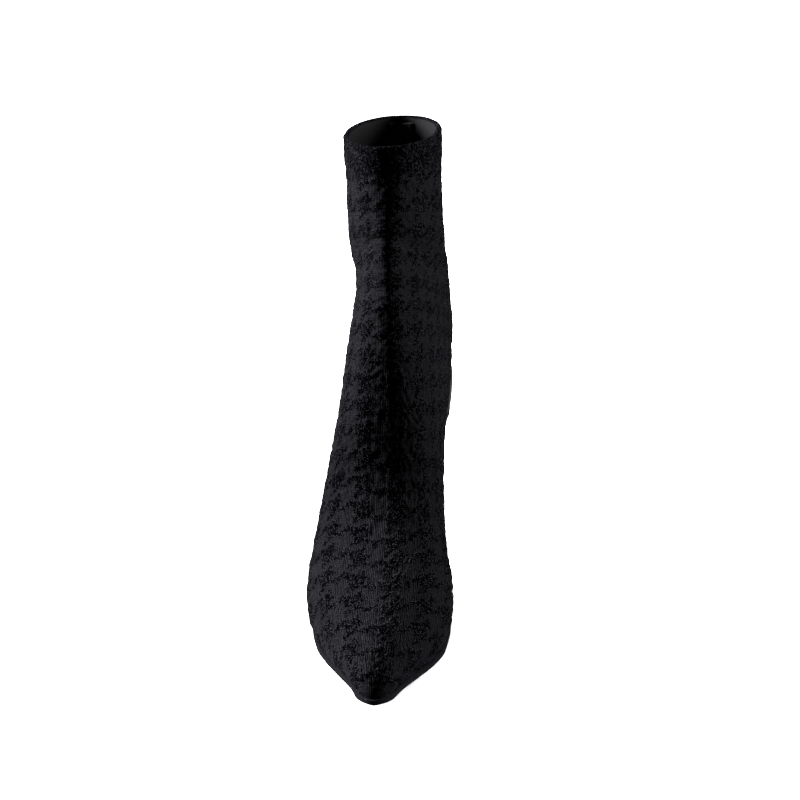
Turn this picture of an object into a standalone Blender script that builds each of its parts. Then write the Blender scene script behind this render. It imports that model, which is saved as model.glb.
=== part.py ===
"""Knitted sock boot for the right foot, with a pointed toe and a small flared heel.

Toe towards -Y, inner (medial) side of the foot towards +X, floor at z = 0.
The origin is the middle of the heel's ground face.
Lengths along the foot run from the back of the seat (0) to the toe tip (1) as shares of
FOOT_LENGTH, and the working unit is the millimetre until a mesh is made.
"""

import math

import bmesh
import bpy
import numpy as np

MM = 0.001

# Driving dimensions in millimetres, angles in radians
FOOT_LENGTH = 252.0
BALL_WIDTH = 67.0
HEEL_HEIGHT = 76.0
TOE_SPRING = 9.0
TOE_SHIFT = 3.0
SOLE_THICKNESS = 4.0
ANKLE_BEND_RISE = 140.0
COLLAR_HEIGHT = 214.0
COLLAR_TILT = math.radians(1.5)
UPPER_WALL = 2.2
CUFF_DEPTH = 12.0
CUFF_STEP = 0.5
RIM_ROUNDING = 0.7
HEEL_ROUNDING = 24.0
TOE_ROUNDING = 9.0
TOE_TOP_ROUNDING = 12.0
INSOLE_THICKNESS = 2.0
OUTSOLE_MARGIN = 0.9
ARCH_CROWN = 2.6
RIM_WIDTH = 8.0
RIM_LIFT = 1.3
FOREPART_THICKNESS = 1.6
FOREPART_ROUNDING = 16.0
FOREPART_POINT = 36.0
FOREPART_END_INSET = 0.25
CUTTER_DEPTH = 4.0
LIFT_THICKNESS = 4.0
BREAST_HOLLOW = 0.8
TAPE_WIDTH = 15.0
TAPE_THICKNESS = 0.8
TAPE_LENGTH = 70.0
TAPE_INSET = 2.0
TAPE_INNER = 0.85
CLEARANCE = 0.3
INSOLE_CLEARANCE = 0.7

# Places along the foot, as shares of its length
SEAM_STATION = 0.215
FOREPART_BACK = 0.555
FOREPART_TIP = 0.925
TOE_SHIFT_START = 0.35
HEEL_TURN_START = 0.85
SEAT_BLEND = 0.12
WIDEST_RIM = 0.6
OUTSOLE_END = 0.994
INSOLE_END = 0.012
SHARP_ANGLE = math.radians(35.0)

# How the toe's lean, the sole's rim and the forepart's point curve
TOE_SHIFT_POWER = 1.6
RIM_POWER = 1.5
POINT_POWER = 0.75

# How finely the pieces are divided
HALF_COLUMNS = 16
TOE_ROWS = 6
VAMP_ROWS = 24
HEEL_TURN_ROWS = 8
SHAFT_ROWS = 15
SOLE_ROWS = 38
FOREPART_ROWS = 32
HEEL_SIDE_POINTS = 9
HEEL_ROWS = 15
SECTION_STEPS = 200
NORMAL_STEP = 0.004

# Plan and side line of the sole. Half widths are shares of BALL_WIDTH from the middle line,
# pitch is the share of the heel's height, spring the share of TOE_SPRING, crown of ARCH_CROWN.
SOLE_COLUMNS = ("station", "medial", "lateral", "pitch", "spring", "crown")
SOLE_ROWS_TABLE = (
    (0.00, 0.300, 0.300, 1.000, 0.00, 1.0),
    (0.08, 0.322, 0.322, 0.965, 0.00, 1.0),
    (0.16, 0.336, 0.336, 0.890, 0.00, 1.0),
    (0.24, 0.314, 0.336, 0.780, 0.00, 1.0),
    (0.32, 0.264, 0.321, 0.645, 0.00, 1.0),
    (0.40, 0.222, 0.307, 0.485, 0.00, 1.0),
    (0.48, 0.214, 0.321, 0.315, 0.00, 0.7),
    (0.56, 0.264, 0.386, 0.155, 0.00, 0.2),
    (0.62, 0.343, 0.461, 0.052, 0.00, 0.0),
    (0.67, 0.400, 0.514, 0.008, 0.00, 0.0),
    (0.71, 0.424, 0.530, 0.000, 0.00, 0.0),
    (0.78, 0.400, 0.470, 0.000, 0.00, 0.0),
    (0.83, 0.338, 0.382, 0.000, 0.10, 0.0),
    (0.88, 0.243, 0.273, 0.000, 0.28, 0.0),
    (0.94, 0.142, 0.154, 0.000, 0.60, 0.0),
    (1.00, 0.085, 0.085, 0.000, 1.00, 0.0),
)

# Sections of the upper. Each lies in a plane through a low point and a point on the top line.
# Up to path 1 the low point runs along the sole's edge from toe to heel, and after it up the back
# of the shaft. Sole, top and back are stations, rise is the share of the back's height. Front is
# the top line's height as a share of ANKLE_BEND_RISE, and above 1 the way on up to the collar.
# Medial and lateral are half widths as shares of BALL_WIDTH, widest is how far up the section
# its widest place lies, and the two powers say how full it is above and below that.
UPPER_COLUMNS = ("path", "sole", "back", "rise", "top", "front", "medial", "lateral", "widest",
                 "power", "low_power")
UPPER_ROWS_TABLE = (
    (0.00, 1.000, 0.0000, 0.00, 1.0000, 0.075, 0.095, 0.095, 0.36, 2.20, 2.0),
    (0.04, 0.960, 0.0000, 0.00, 0.9580, 0.097, 0.137, 0.144, 0.35, 2.20, 2.0),
    (0.08, 0.920, 0.0000, 0.00, 0.9170, 0.134, 0.202, 0.220, 0.33, 2.20, 2.0),
    (0.14, 0.860, 0.0000, 0.00, 0.8510, 0.189, 0.314, 0.347, 0.30, 2.10, 2.0),
    (0.20, 0.800, 0.0000, 0.00, 0.7860, 0.239, 0.410, 0.470, 0.28, 2.10, 2.0),
    (0.26, 0.740, 0.0000, 0.00, 0.7140, 0.296, 0.459, 0.560, 0.27, 2.05, 2.0),
    (0.32, 0.680, 0.0000, 0.00, 0.6510, 0.365, 0.452, 0.592, 0.27, 1.95, 2.0),
    (0.38, 0.620, 0.0000, 0.00, 0.6030, 0.451, 0.410, 0.572, 0.28, 1.90, 2.0),
    (0.44, 0.560, 0.0000, 0.00, 0.5690, 0.564, 0.384, 0.530, 0.29, 1.90, 2.0),
    (0.52, 0.480, 0.0000, 0.00, 0.5400, 0.679, 0.366, 0.478, 0.30, 1.90, 2.0),
    (0.62, 0.380, 0.0000, 0.00, 0.5160, 0.782, 0.360, 0.430, 0.31, 1.92, 2.1),
    (0.74, 0.255, 0.0000, 0.00, 0.4960, 0.869, 0.358, 0.405, 0.31, 1.92, 2.3),
    (0.87, 0.110, 0.0000, 0.00, 0.4800, 0.931, 0.356, 0.388, 0.29, 1.92, 2.5),
    (1.00, 0.000, 0.0000, 0.00, 0.4680, 1.000, 0.356, 0.378, 0.27, 1.92, 2.5),
    (1.13, 0.000, -0.0100, 0.09, 0.4645, 1.026, 0.352, 0.373, 0.28, 1.92, 2.3),
    (1.26, 0.000, -0.0120, 0.20, 0.4610, 1.049, 0.346, 0.368, 0.33, 1.95, 2.1),
    (1.38, 0.000, 0.0200, 0.31, 0.4580, 1.068, 0.350, 0.372, 0.39, 1.97, 2.0),
    (1.50, 0.000, 0.0615, 0.43, 0.4550, 1.089, 0.347, 0.367, 0.43, 2.00, 2.0),
    (1.64, 0.000, 0.0850, 0.58, 0.4500, 1.118, 0.346, 0.360, 0.46, 2.00, 2.0),
    (1.76, 0.000, 0.0930, 0.72, 0.4440, 1.157, 0.346, 0.353, 0.48, 2.05, 2.0),
    (1.88, 0.000, 0.0950, 0.86, 0.4370, 1.225, 0.346, 0.348, 0.50, 2.05, 2.0),
    (2.00, 0.000, 0.0950, 1.00, 0.4290, 1.329, 0.346, 0.346, 0.50, 2.10, 2.1),
)

# Sections of the heel from the seat (drop 0) to the lift (drop 1). Back and front are shifts from
# the seat's back and from the breast seam as shares of FOOT_LENGTH, width a share of BALL_WIDTH,
# straight the share of the depth before the back rounds off.
HEEL_COLUMNS = ("drop", "back", "front", "width", "straight")
HEEL_ROWS_TABLE = (
    (0.00, 0.0000, 0.0000, 0.697, 0.54),
    (0.05, 0.0066, 0.0000, 0.690, 0.54),
    (0.12, 0.0266, 0.0000, 0.645, 0.53),
    (0.22, 0.0592, -0.0095, 0.535, 0.50),
    (0.35, 0.1000, -0.0167, 0.385, 0.46),
    (0.50, 0.1373, -0.0191, 0.230, 0.44),
    (0.66, 0.1552, -0.0189, 0.162, 0.42),
    (0.82, 0.1546, -0.0139, 0.190, 0.44),
    (0.93, 0.1466, -0.0044, 0.252, 0.47),
    (1.00, 0.1409, 0.0051, 0.313, 0.50),
)


def as_table(columns, rows):
    """Columns of a table by name."""
    return {name: np.array([row[place] for row in rows]) for place, name in enumerate(columns)}


SOLE = as_table(SOLE_COLUMNS, SOLE_ROWS_TABLE)
UPPER = as_table(UPPER_COLUMNS, UPPER_ROWS_TABLE)
HEEL = as_table(HEEL_COLUMNS, HEEL_ROWS_TABLE)


def read(table, column, key, at):
    """Smooth curve through a table's column that never swings past its rows."""
    keys = table[key]
    values = table[column]
    steps = np.diff(keys)
    slopes = np.diff(values) / steps
    inner = np.zeros(len(slopes) - 1)
    same_way = slopes[:-1] * slopes[1:] > 0
    weight_a = 2 * steps[1:] + steps[:-1]
    weight_b = steps[1:] + 2 * steps[:-1]
    total = (weight_a + weight_b)[same_way]
    inner[same_way] = total / (weight_a[same_way] / slopes[:-1][same_way]
                               + weight_b[same_way] / slopes[1:][same_way])
    tangents = np.concatenate(([slopes[0]], inner, [slopes[-1]]))
    at = np.clip(at, keys[0], keys[-1])
    cell = np.clip(np.searchsorted(keys, at, side="right") - 1, 0, len(steps) - 1)
    size = steps[cell]
    t = (at - keys[cell]) / size
    return ((1 + 2 * t) * (1 - t) ** 2 * values[cell]
            + t * (1 - t) ** 2 * size * tangents[cell]
            + t * t * (3 - 2 * t) * values[cell + 1]
            + t * t * (t - 1) * size * tangents[cell + 1])


def rounded(distance, length):
    """Quarter ellipse that rises from 0 at an end to 1 at the given length from it."""
    share = np.clip(distance / length, 0.0, 1.0)
    return np.sqrt(np.clip(1.0 - (1.0 - share) ** 2, 0.0, 1.0))


def middle_line(station):
    """Sideways place of the foot's middle line, which leans inwards at the toe."""
    share = np.clip((station - TOE_SHIFT_START) / (1.0 - TOE_SHIFT_START), 0.0, 1.0)
    return TOE_SHIFT * share ** TOE_SHIFT_POWER


def feather_height(station):
    """Height of the line where the upper meets the sole."""
    pitch = read(SOLE, "pitch", "station", station) * (HEEL_HEIGHT - SOLE_THICKNESS)
    spring = read(SOLE, "spring", "station", station) * TOE_SPRING
    return SOLE_THICKNESS + pitch + spring


def half_width(station, side):
    """Half width of the upper's lower edge, rounded off at heel and toe."""
    column = "medial" if side > 0 else "lateral"
    along = station * FOOT_LENGTH
    ends = rounded(along, HEEL_ROUNDING) * rounded(FOOT_LENGTH - along, TOE_ROUNDING)
    return read(SOLE, column, "station", station) * BALL_WIDTH * ends


def stations(share):
    """Stations from heel (0) to toe (1), close together at both ends."""
    return (1.0 - np.cos(np.pi * share)) / 2.0


def edge_line(share, side, margin):
    """Plan of the sole's edge, moved outwards by a margin: sideways place and length."""
    step = 1e-4
    low = np.clip(share - step, 0.0, 1.0)
    high = np.clip(share + step, 0.0, 1.0)

    def place(at):
        station = stations(at)
        return middle_line(station) + side * half_width(station, side), station * FOOT_LENGTH

    x, along = place(share)
    x_low, along_low = place(low)
    x_high, along_high = place(high)
    run = np.hypot(x_high - x_low, along_high - along_low)
    out_x = side * (along_high - along_low) / run
    out_along = -side * (x_high - x_low) / run
    return x + margin * out_x, along + margin * out_along


def collar_height(along):
    """Height of the collar's plane, higher at the front."""
    back = read(UPPER, "back", "path", 2.0)
    top = read(UPPER, "top", "path", 2.0)
    middle = (back + top) / 2.0 * FOOT_LENGTH
    return COLLAR_HEIGHT + (along - middle) * math.tan(COLLAR_TILT)


def section_frame(path):
    """Low point and top point of the section at a path value, as (along, height)."""
    top_station = read(UPPER, "top", "path", path)
    top_along = top_station * FOOT_LENGTH
    floor = feather_height(top_station)
    front = read(UPPER, "front", "path", path)
    rise = min(front, 1.0) * ANKLE_BEND_RISE * rounded(path * FOOT_LENGTH, TOE_TOP_ROUNDING)
    shaft = collar_height(top_along) - floor - ANKLE_BEND_RISE
    above = max(front - 1.0, 0.0) / (UPPER["front"][-1] - 1.0)
    if path <= 1.0:
        low_along = read(UPPER, "sole", "path", path) * FOOT_LENGTH
        low_height = feather_height(low_along / FOOT_LENGTH)
    else:
        low_along = read(UPPER, "back", "path", path) * FOOT_LENGTH
        back_height = collar_height(low_along) - HEEL_HEIGHT
        low_height = HEEL_HEIGHT + read(UPPER, "rise", "path", path) * back_height
    return (low_along, low_height), (top_along, floor + rise + above * shaft)


def half_section(path, side, height):
    """Half of a section from the top down to the low edge: sideways place and height in it."""
    foot_end = rounded(path * FOOT_LENGTH, TOE_ROUNDING)
    column = "medial" if side > 0 else "lateral"
    widest = read(UPPER, column, "path", path) * BALL_WIDTH * foot_end
    reach = half_width(read(UPPER, "sole", "path", path), side) if path < 1.0 else 0.0
    widest = max(widest, reach * 1.01, 1e-6)
    swell = read(UPPER, "widest", "path", path) * height
    power = 2.0 / read(UPPER, "power", "path", path)
    turn = np.linspace(np.pi / 2, 0.0, SECTION_STEPS)
    upper_x = widest * np.cos(turn) ** power
    upper_v = swell + (height - swell) * np.sin(turn) ** power
    power = 2.0 / read(UPPER, "low_power", "path", path)
    last = math.acos(min(reach / widest, 1.0) ** (1.0 / power))
    turn = np.linspace(0.0, last, SECTION_STEPS)[1:]
    lower_x = widest * np.clip(np.cos(turn), 0.0, 1.0) ** power
    lower_v = swell * (1.0 - (np.sin(turn) / math.sin(last)) ** power)
    return np.concatenate((upper_x, lower_x)), np.concatenate((upper_v, lower_v))


def upper_row(path, places):
    """Points of the upper's outer face. Place -1 is the medial low edge, 0 the top line, and 1
    the lateral low edge, measured along the surface."""
    low, top = section_frame(path)
    height = math.hypot(top[0] - low[0], top[1] - low[1])
    middle_low = middle_line(read(UPPER, "sole", "path", path))
    middle_top = middle_line(top[0] / FOOT_LENGTH)
    points = np.zeros((len(places), 3))
    for side in (1, -1):
        x, v = half_section(path, side, height)
        lengths = np.concatenate(([0.0], np.cumsum(np.hypot(np.diff(x), np.diff(v)))))
        chosen = places <= 0 if side > 0 else places > 0
        at = np.abs(places[chosen]) * lengths[-1]
        x_at = np.interp(at, lengths, x)
        share = np.interp(at, lengths, v) / max(height, 1e-6)
        points[chosen, 0] = side * x_at + middle_low + (middle_top - middle_low) * share
        points[chosen, 1] = low[0] + (top[0] - low[0]) * share
        points[chosen, 2] = low[1] + (top[1] - low[1]) * share
    return points


def upper_normals(path, places):
    """Outward normals of the upper's outer face."""
    if path <= 0.0:
        return np.tile((0.0, 1.0, 0.0), (len(places), 1))
    step = NORMAL_STEP
    closed = path >= 1.0
    before = places - step
    after = places + step
    if closed:
        before = np.where(before < -1.0, before + 2.0, before)
        after = np.where(after > 1.0, after - 2.0, after)
    before = np.clip(before, -1.0, 1.0)
    after = np.clip(after, -1.0, 1.0)
    across = upper_row(path, after) - upper_row(path, before)
    path_step = min(step, path / 2.0)
    along = upper_row(min(path + path_step, 2.0), places) - upper_row(path - path_step, places)
    normals = np.cross(across, along)
    return normals / np.linalg.norm(normals, axis=1, keepdims=True)


def to_metres(points):
    """Working points (sideways, along, height in mm) in the part's own frame."""
    points = np.atleast_2d(points)
    return np.column_stack((points[:, 0], rest_along() - points[:, 1], points[:, 2])) * MM


def heel_line(drop):
    """Back, front and width of the heel's section at a drop, in millimetres."""
    back = -OUTSOLE_MARGIN + read(HEEL, "back", "drop", drop) * FOOT_LENGTH
    seam = SEAM_STATION * FOOT_LENGTH - CLEARANCE
    front = seam + read(HEEL, "front", "drop", drop) * FOOT_LENGTH
    return back, front, read(HEEL, "width", "drop", drop) * BALL_WIDTH


def rest_along():
    """Length along the foot of the middle of the heel's ground face."""
    back, front, _ = heel_line(1.0)
    return (back + front) / 2.0


def clear_scene():
    for existing in list(bpy.data.objects):
        bpy.data.objects.remove(existing, do_unlink=True)


def material(name, colour, roughness, metallic=0.0):
    made = bpy.data.materials.new(name)
    made.use_nodes = True
    shader = made.node_tree.nodes["Principled BSDF"]
    shader.inputs["Base Color"].default_value = (*colour, 1.0)
    shader.inputs["Roughness"].default_value = roughness
    shader.inputs["Metallic"].default_value = metallic
    made.diffuse_color = (*colour, 1.0)
    return made


def add_object(name, points, faces, finish):
    """Mesh object from working points, with its faces turned outwards."""
    mesh = bpy.data.meshes.new(name)
    mesh.from_pydata([tuple(point) for point in to_metres(points)], [], faces)
    shape = bmesh.new()
    shape.from_mesh(mesh)
    bmesh.ops.recalc_face_normals(shape, faces=shape.faces[:])
    bmesh.ops.triangulate(shape, faces=[face for face in shape.faces if len(face.verts) > 4])
    shape.to_mesh(mesh)
    shape.free()
    mesh.materials.append(finish)
    mesh.shade_smooth()
    mesh.set_sharp_from_angle(angle=SHARP_ANGLE)
    made = bpy.data.objects.new(name, mesh)
    bpy.context.collection.objects.link(made)
    return made


def loft(name, loops, finish, first_cap=None):
    """Closed solid through a row of loops with equal numbers of points."""
    count = len(loops[0])
    faces = []
    for row in range(len(loops) - 1):
        for place in range(count):
            after = (place + 1) % count
            faces.append((row * count + place, row * count + after,
                          (row + 1) * count + after, (row + 1) * count + place))
    last = (len(loops) - 1) * count
    faces += first_cap or [tuple(range(count))]
    faces.append(tuple(last + place for place in range(count)))
    return add_object(name, np.vstack(loops), faces, finish)


def sheet_faces(rows, columns, closed_from, start):
    """Quads of a grid whose rows join up into rings from one row on, after a pole in row 0.
    Returns the faces and the number of the vertex at each row and column."""
    numbers = np.zeros((rows, columns + 1), dtype=int)
    following = start
    for row in range(rows):
        if row == 0:
            numbers[row, :] = following
            following += 1
            continue
        closed = row >= closed_from
        used = columns if closed else columns + 1
        numbers[row, :used] = np.arange(following, following + used)
        if closed:
            numbers[row, columns] = numbers[row, 0]
        following += used
    faces = []
    for row in range(rows - 1):
        for column in range(columns):
            ring = (numbers[row, column], numbers[row, column + 1],
                    numbers[row + 1, column + 1], numbers[row + 1, column])
            kept = tuple(dict.fromkeys(int(number) for number in ring))
            if len(kept) > 2:
                faces.append(kept)
    return faces, numbers, following


def upper_paths():
    """Path values of the upper's rows, close together round the toe and the heel, with a close
    pair where the cuff steps out."""
    turn = np.linspace(0.0, np.pi / 2, TOE_ROWS + 1)
    toe = (1.0 - np.cos(turn)) * TOE_ROUNDING / FOOT_LENGTH
    vamp = np.linspace(toe[-1], HEEL_TURN_START, VAMP_ROWS + 1)[1:]
    heel = np.linspace(HEEL_TURN_START, 1.0, HEEL_TURN_ROWS + 1)[1:]
    back = collar_height(read(UPPER, "back", "path", 2.0) * FOOT_LENGTH) - HEEL_HEIGHT
    cuff = 2.0 - CUFF_DEPTH / back
    shaft = np.linspace(1.0, cuff, SHAFT_ROWS)[1:]
    step = CUFF_STEP / back
    return np.concatenate((toe, vamp, heel, shaft, (cuff + step, (cuff + 2.0) / 2.0, 2.0))), cuff


def make_upper(finish):
    paths, cuff = upper_paths()
    places = np.linspace(-1.0, 1.0, 2 * HALF_COLUMNS + 1)
    columns = len(places) - 1
    outer = []
    inner = []
    for path in paths:
        base = upper_row(path, places)
        normals = upper_normals(path, places)
        if path <= 1.0:
            for edge in (0, columns):
                normals[edge, 2] = 0.0
                normals[edge] /= np.linalg.norm(normals[edge])
        outer.append(base + normals * (CUFF_STEP if path > cuff else 0.0))
        inner.append(base - normals * UPPER_WALL)
    lip = (outer[-1] + inner[-1]) / 2.0
    lip[:, 2] += RIM_ROUNDING
    rows = len(paths)
    closed_from = int(np.argmin(np.abs(paths - 1.0)))
    points = []
    faces = []
    numbers = []
    for grid in (outer, inner):
        made, table, _ = sheet_faces(rows, columns, closed_from, len(points))
        faces += made
        numbers.append(table)
        for row in range(rows):
            used = 1 if row == 0 else (columns if row >= closed_from else columns + 1)
            points += list(grid[row][:used])
    first_lip = len(points)
    points += list(lip[:columns])
    for column in range(columns):
        after = (column + 1) % columns
        for table in numbers:
            faces.append((int(table[-1, column]), int(table[-1, column + 1]),
                          first_lip + after, first_lip + column))
    for row in range(closed_from):
        for column in (0, columns):
            ring = (numbers[0][row, column], numbers[0][row + 1, column],
                    numbers[1][row + 1, column], numbers[1][row, column])
            faces.append(tuple(int(number) for number in ring))
    return add_object("upper", np.array(points), faces, finish)


def sole_bottom(station, from_edge):
    """Height of the outsole's underside at a distance in from its edge."""
    lift = RIM_LIFT * (1.0 - np.clip(from_edge / RIM_WIDTH, 0.0, 1.0)) ** RIM_POWER
    half = (half_width(station, 1) + half_width(station, -1)) / 2.0 + OUTSOLE_MARGIN
    share = np.clip(from_edge / max(half, RIM_WIDTH), 0.0, 1.0)
    crown = read(SOLE, "crown", "station", station) * ARCH_CROWN * (1.0 - (1.0 - share) ** 2)
    return feather_height(station) - SOLE_THICKNESS + lift - crown


def outsole_loop(share, flat_end):
    """Section of the outsole: across the top, and back along the underside."""
    edges = {}
    for side in (1, -1):
        x, along = edge_line(share, side, OUTSOLE_MARGIN)
        edges[side] = np.array((x, stations(share) * FOOT_LENGTH if flat_end else along))
    middle = (edges[1] + edges[-1]) / 2.0
    half = np.linalg.norm(edges[1] - edges[-1]) / 2.0
    rim = min(RIM_WIDTH / half, WIDEST_RIM)
    shares = (0.0, rim / 2.0, rim, (1.0 + rim) / 2.0)
    loop = []
    for side, share_in in ((1, 0.0), (1, 1.0), (-1, 0.0)):
        x, along = edges[side] + (middle - edges[side]) * share_in
        loop.append((x, along, feather_height(along / FOOT_LENGTH) - CLEARANCE))
    under = [(-1, share_in) for share_in in shares] + [(1, 1.0)]
    under += [(1, share_in) for share_in in reversed(shares)]
    for side, share_in in under:
        x, along = edges[side] + (middle - edges[side]) * share_in
        loop.append((x, along, sole_bottom(along / FOOT_LENGTH, share_in * half)))
    return np.array(loop)


def forepart_loop(station, margin, top, bottom_drop):
    """Section of the tread or of the recess that it sits in, between two depths."""
    along = station * FOOT_LENGTH
    back = rounded(along - FOREPART_BACK * FOOT_LENGTH + margin, FOREPART_ROUNDING)
    to_tip = (FOREPART_TIP * FOOT_LENGTH + margin - along) / FOREPART_POINT
    point = (1.0 - (1.0 - np.clip(to_tip, 0.0, 1.0)) ** 2) ** POINT_POWER
    middle = middle_line(station)
    shares = (1.0, 0.5, 0.0, -0.5, -1.0)
    x_places = []
    for share in shares:
        side = 1 if share >= 0 else -1
        full = half_width(station, side) + OUTSOLE_MARGIN
        half = (full - RIM_WIDTH) * point * back + margin
        x_places.append((middle + share * half, full - abs(share) * half))
    upper_side = [(x, along, sole_bottom(station, RIM_WIDTH) + top) for x, _ in x_places]
    under_side = [(x, along, sole_bottom(station, from_edge) - bottom_drop)
                  for x, from_edge in reversed(x_places)]
    return np.array(upper_side + under_side)


def forepart_solid(name, margin, top, bottom_drop, finish):
    ends = (FOREPART_BACK * FOOT_LENGTH - margin, FOREPART_TIP * FOOT_LENGTH + margin)
    spread = stations(np.linspace(0.0, 1.0, FOREPART_ROWS))
    alongs = ends[0] + FOREPART_END_INSET + (ends[1] - ends[0] - 2 * FOREPART_END_INSET) * spread
    loops = [forepart_loop(along / FOOT_LENGTH, margin, top, bottom_drop) for along in alongs]
    return loft(name, loops, finish)


def make_outsole(finish):
    seam = math.acos(1.0 - 2.0 * SEAM_STATION) / math.pi
    shares = np.linspace(seam, OUTSOLE_END, SOLE_ROWS)
    loops = [outsole_loop(share, place == 0) for place, share in enumerate(shares)]
    outsole = loft("outsole", loops, finish)
    recess = forepart_solid("recess_cutter", CLEARANCE, FOREPART_THICKNESS + CLEARANCE, CUTTER_DEPTH,
                            finish)
    recess.hide_render = True
    recess.display_type = "WIRE"
    cut = outsole.modifiers.new("forepart recess", "BOOLEAN")
    cut.operation = "DIFFERENCE"
    cut.solver = "EXACT"
    cut.object = recess
    return outsole


def make_insole(finish):
    """Board inside the upper's lower edge, lying on the outsole and the heel's seat."""
    shares = np.linspace(INSOLE_END, 1.0 - INSOLE_END, SOLE_ROWS)
    margin = -(UPPER_WALL + INSOLE_CLEARANCE)
    loops = []
    for share in shares:
        medial = edge_line(share, 1, margin)
        lateral = edge_line(share, -1, margin)
        ends = np.array((medial, lateral))
        middle = ends.mean(axis=0)
        under = [ends[0], middle, ends[1]]
        loop = [(x, along, feather_height(along / FOOT_LENGTH)) for x, along in under]
        loop += [(x, along, z + INSOLE_THICKNESS) for x, along, z in reversed(loop)]
        loops.append(np.array(loop))
    return loft("insole", loops, finish)


def heel_loop(drop, height=None):
    """D-shaped section of the heel, straight at the breast and round at the back."""
    back, front, width = heel_line(drop)
    straight = read(HEEL, "straight", "drop", drop)
    shares = np.sin(np.linspace(0.0, np.pi / 2, HEEL_SIDE_POINTS + 1))
    along = front - shares * (front - back)
    turn = np.clip((shares - straight) / (1.0 - straight), 0.0, 1.0)
    plain = np.sqrt(1.0 - turn ** 2) * width / 2.0
    seat_blend = np.clip(1.0 - drop / SEAT_BLEND, 0.0, 1.0)
    inside = np.clip(along / FOOT_LENGTH, 0.0, 1.0)
    sides = []
    for side in (1, -1):
        reach = rounded(along + OUTSOLE_MARGIN, HEEL_ROUNDING + OUTSOLE_MARGIN)
        column = "medial" if side > 0 else "lateral"
        seat = (read(SOLE, column, "station", inside) * BALL_WIDTH + OUTSOLE_MARGIN) * reach
        sides.append(side * (seat * seat_blend + plain * (1.0 - seat_blend)))
    hollow = BREAST_HOLLOW * math.sin(math.pi * drop)
    x = np.concatenate((sides[0], sides[1][-2::-1], [0.0]))
    along = np.concatenate((along, along[-2::-1], [front - hollow]))
    seat_height = feather_height(np.clip(along / FOOT_LENGTH, 0.0, 1.0)) - CLEARANCE
    foot = LIFT_THICKNESS + CLEARANCE
    z = seat_height + (foot - seat_height) * drop if height is None else np.full(len(x), height)
    return np.column_stack((x, along, z))


def make_heel(finish):
    """Heel with its seat faced by rungs from side to side, so that it keeps the sole's curve."""
    last = 2 * HEEL_SIDE_POINTS
    seat = [(place, place + 1, last - place - 1, last - place)
            for place in range(HEEL_SIDE_POINTS - 1)]
    seat.append((HEEL_SIDE_POINTS - 1, HEEL_SIDE_POINTS, HEEL_SIDE_POINTS + 1))
    seat.append((last, last + 1, 0))
    loops = [heel_loop(drop) for drop in np.linspace(0.0, 1.0, HEEL_ROWS)]
    return loft("heel", loops, finish, seat)


def make_top_lift(finish):
    return loft("top_lift", [heel_loop(1.0, 0.0), heel_loop(1.0, LIFT_THICKNESS)], finish)


def make_back_tape(finish):
    """Tape over the back seam inside the shaft, from just under the collar down."""
    back = collar_height(read(UPPER, "back", "path", 2.0) * FOOT_LENGTH) - HEEL_HEIGHT
    lower = 2.0 - (TAPE_INSET + TAPE_LENGTH) / back
    upper = 2.0 - TAPE_INSET / back
    rows = upper_paths()[0]
    paths = np.concatenate((rows[(rows > lower) & (rows < upper)], [upper]))
    loops = []
    for path in paths:
        low, top = section_frame(path)
        x, v = half_section(path, 1, math.hypot(top[0] - low[0], top[1] - low[1]))
        half_girth = np.sum(np.hypot(np.diff(x), np.diff(v)))
        reach = TAPE_WIDTH / 2.0 / half_girth
        inner = min(1.0 / HALF_COLUMNS, TAPE_INNER * reach)
        offsets = np.array((-reach, -inner, 0.0, inner, reach))
        places = np.where(offsets < 0, 1.0 + offsets, -1.0 + offsets)
        base = upper_row(path, places)
        normals = upper_normals(path, places)
        against_wall = base - normals * (UPPER_WALL + CLEARANCE)
        face = against_wall - normals * TAPE_THICKNESS
        loops.append(np.vstack((against_wall, face[::-1])))
    return loft("back_tape", loops, finish)


def main():
    clear_scene()
    knit = material("black knit", (0.020, 0.020, 0.024), 0.85)
    gloss = material("black gloss", (0.008, 0.008, 0.009), 0.12)
    rubber = material("black rubber", (0.025, 0.025, 0.026), 0.60)
    lining = material("black lining", (0.016, 0.016, 0.018), 0.75)
    tape = material("grey black tape", (0.045, 0.045, 0.050), 0.70)
    make_upper(knit)
    make_insole(lining)
    make_outsole(gloss)
    forepart_solid("forepart", 0.0, FOREPART_THICKNESS, 0.0, rubber)
    make_heel(gloss)
    make_top_lift(rubber)
    make_back_tape(tape)


main()
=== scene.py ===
import math
import bpy
import numpy as np
from mathutils import Matrix, Vector


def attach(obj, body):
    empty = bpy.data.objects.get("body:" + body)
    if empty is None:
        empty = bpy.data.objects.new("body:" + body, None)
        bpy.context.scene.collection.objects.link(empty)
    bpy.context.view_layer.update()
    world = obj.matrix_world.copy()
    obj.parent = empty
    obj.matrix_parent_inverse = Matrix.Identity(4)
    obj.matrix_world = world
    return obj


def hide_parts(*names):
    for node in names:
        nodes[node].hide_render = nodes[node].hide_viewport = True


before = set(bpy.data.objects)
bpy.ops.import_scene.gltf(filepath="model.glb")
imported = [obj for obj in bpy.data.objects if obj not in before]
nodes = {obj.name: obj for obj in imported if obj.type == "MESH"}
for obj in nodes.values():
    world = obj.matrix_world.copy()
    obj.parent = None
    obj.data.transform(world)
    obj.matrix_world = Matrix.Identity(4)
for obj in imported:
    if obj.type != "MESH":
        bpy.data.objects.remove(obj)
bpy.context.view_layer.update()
print("frame loaded:", ", ".join(sorted(nodes)))

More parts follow.
